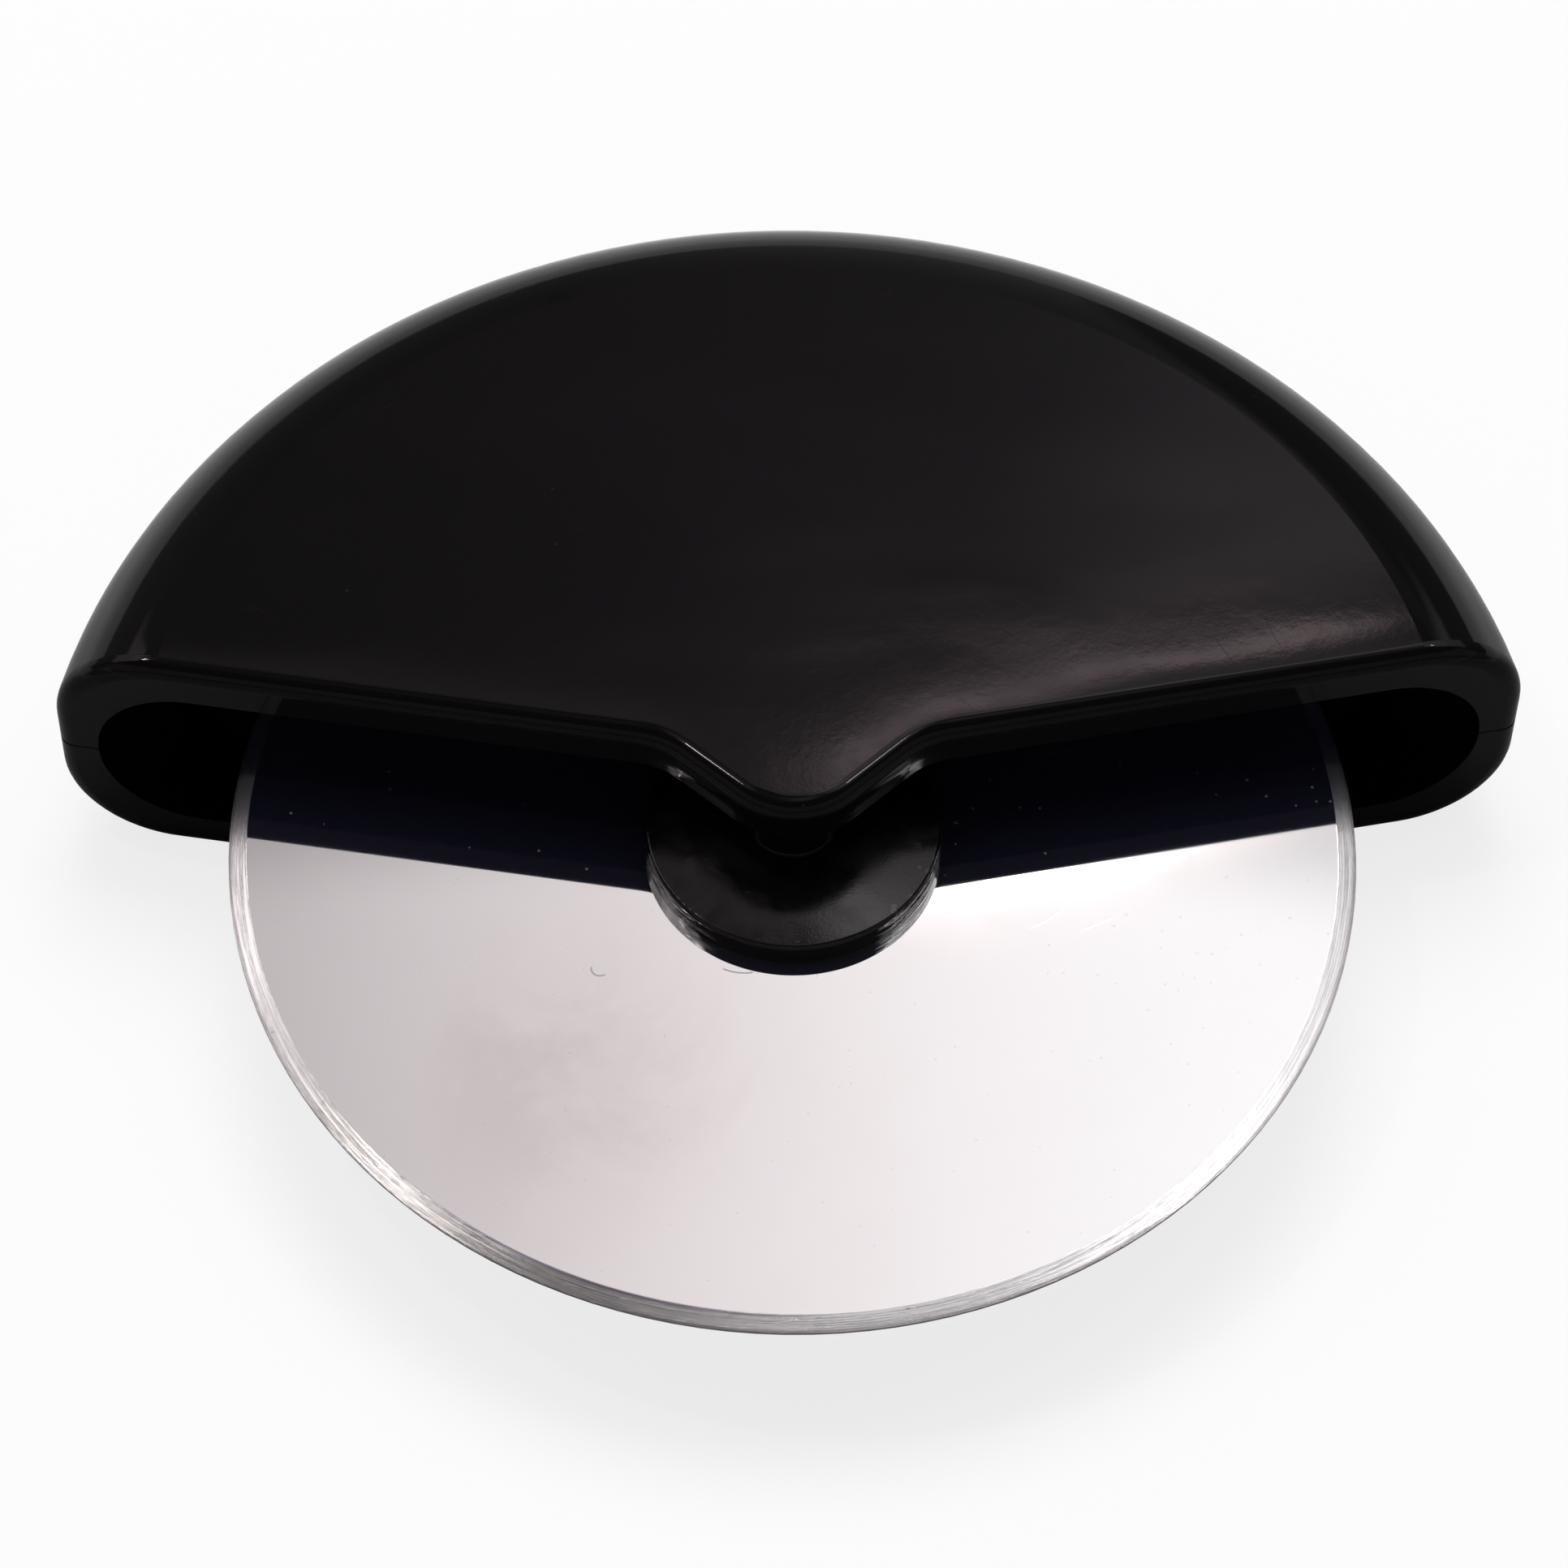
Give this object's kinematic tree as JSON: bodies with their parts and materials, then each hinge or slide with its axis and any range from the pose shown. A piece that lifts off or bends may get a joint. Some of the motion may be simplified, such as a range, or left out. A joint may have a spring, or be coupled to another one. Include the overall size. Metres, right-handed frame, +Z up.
{
  "type": "pizza cutter wheel",
  "caption": "Palm-grip pizza cutter: a steel disc with a bevelled edge turns between two black half-round shells.",
  "frame": {"origin": "on the flat rear face that it lies on, straight below the axle", "axes": "+X along the width of the grip, +Y from the axle to the top of the grip, +Z up through the thickness, along the axle from the rear shell to the front shell"},
  "size_m": [0.118, 0.1036, 0.024],
  "materials": {
    "shell_plastic": "glossy moulded black with fine scratches",
    "blade_steel": "polished stainless, brushed on the bevel",
    "hub_plastic": "satin moulded black",
    "pin_steel": "ground steel",
    "washer_plastic": "black acetal",
    "screw_steel": "plain plated steel"
  },
  "bodies": {
    "grip": {"front_shell": "shell_plastic", "rear_shell": "shell_plastic", "axle_pin": "pin_steel", "front_thrust_washer": "washer_plastic", "rear_thrust_washer": "washer_plastic", "left_shell_screw": "screw_steel", "right_shell_screw": "screw_steel", "top_shell_screw": "screw_steel"},
    "wheel": {"blade": "blade_steel", "front_hub_disc": "hub_plastic", "rear_hub_disc": "hub_plastic"}
  },
  "joints": [
    {"name": "blade_spin", "type": "hinge", "parent": "grip", "child": "wheel", "pos_m": [0, 0, 0.012], "axis": [0, 0, 1], "continuous": true}
  ]
}
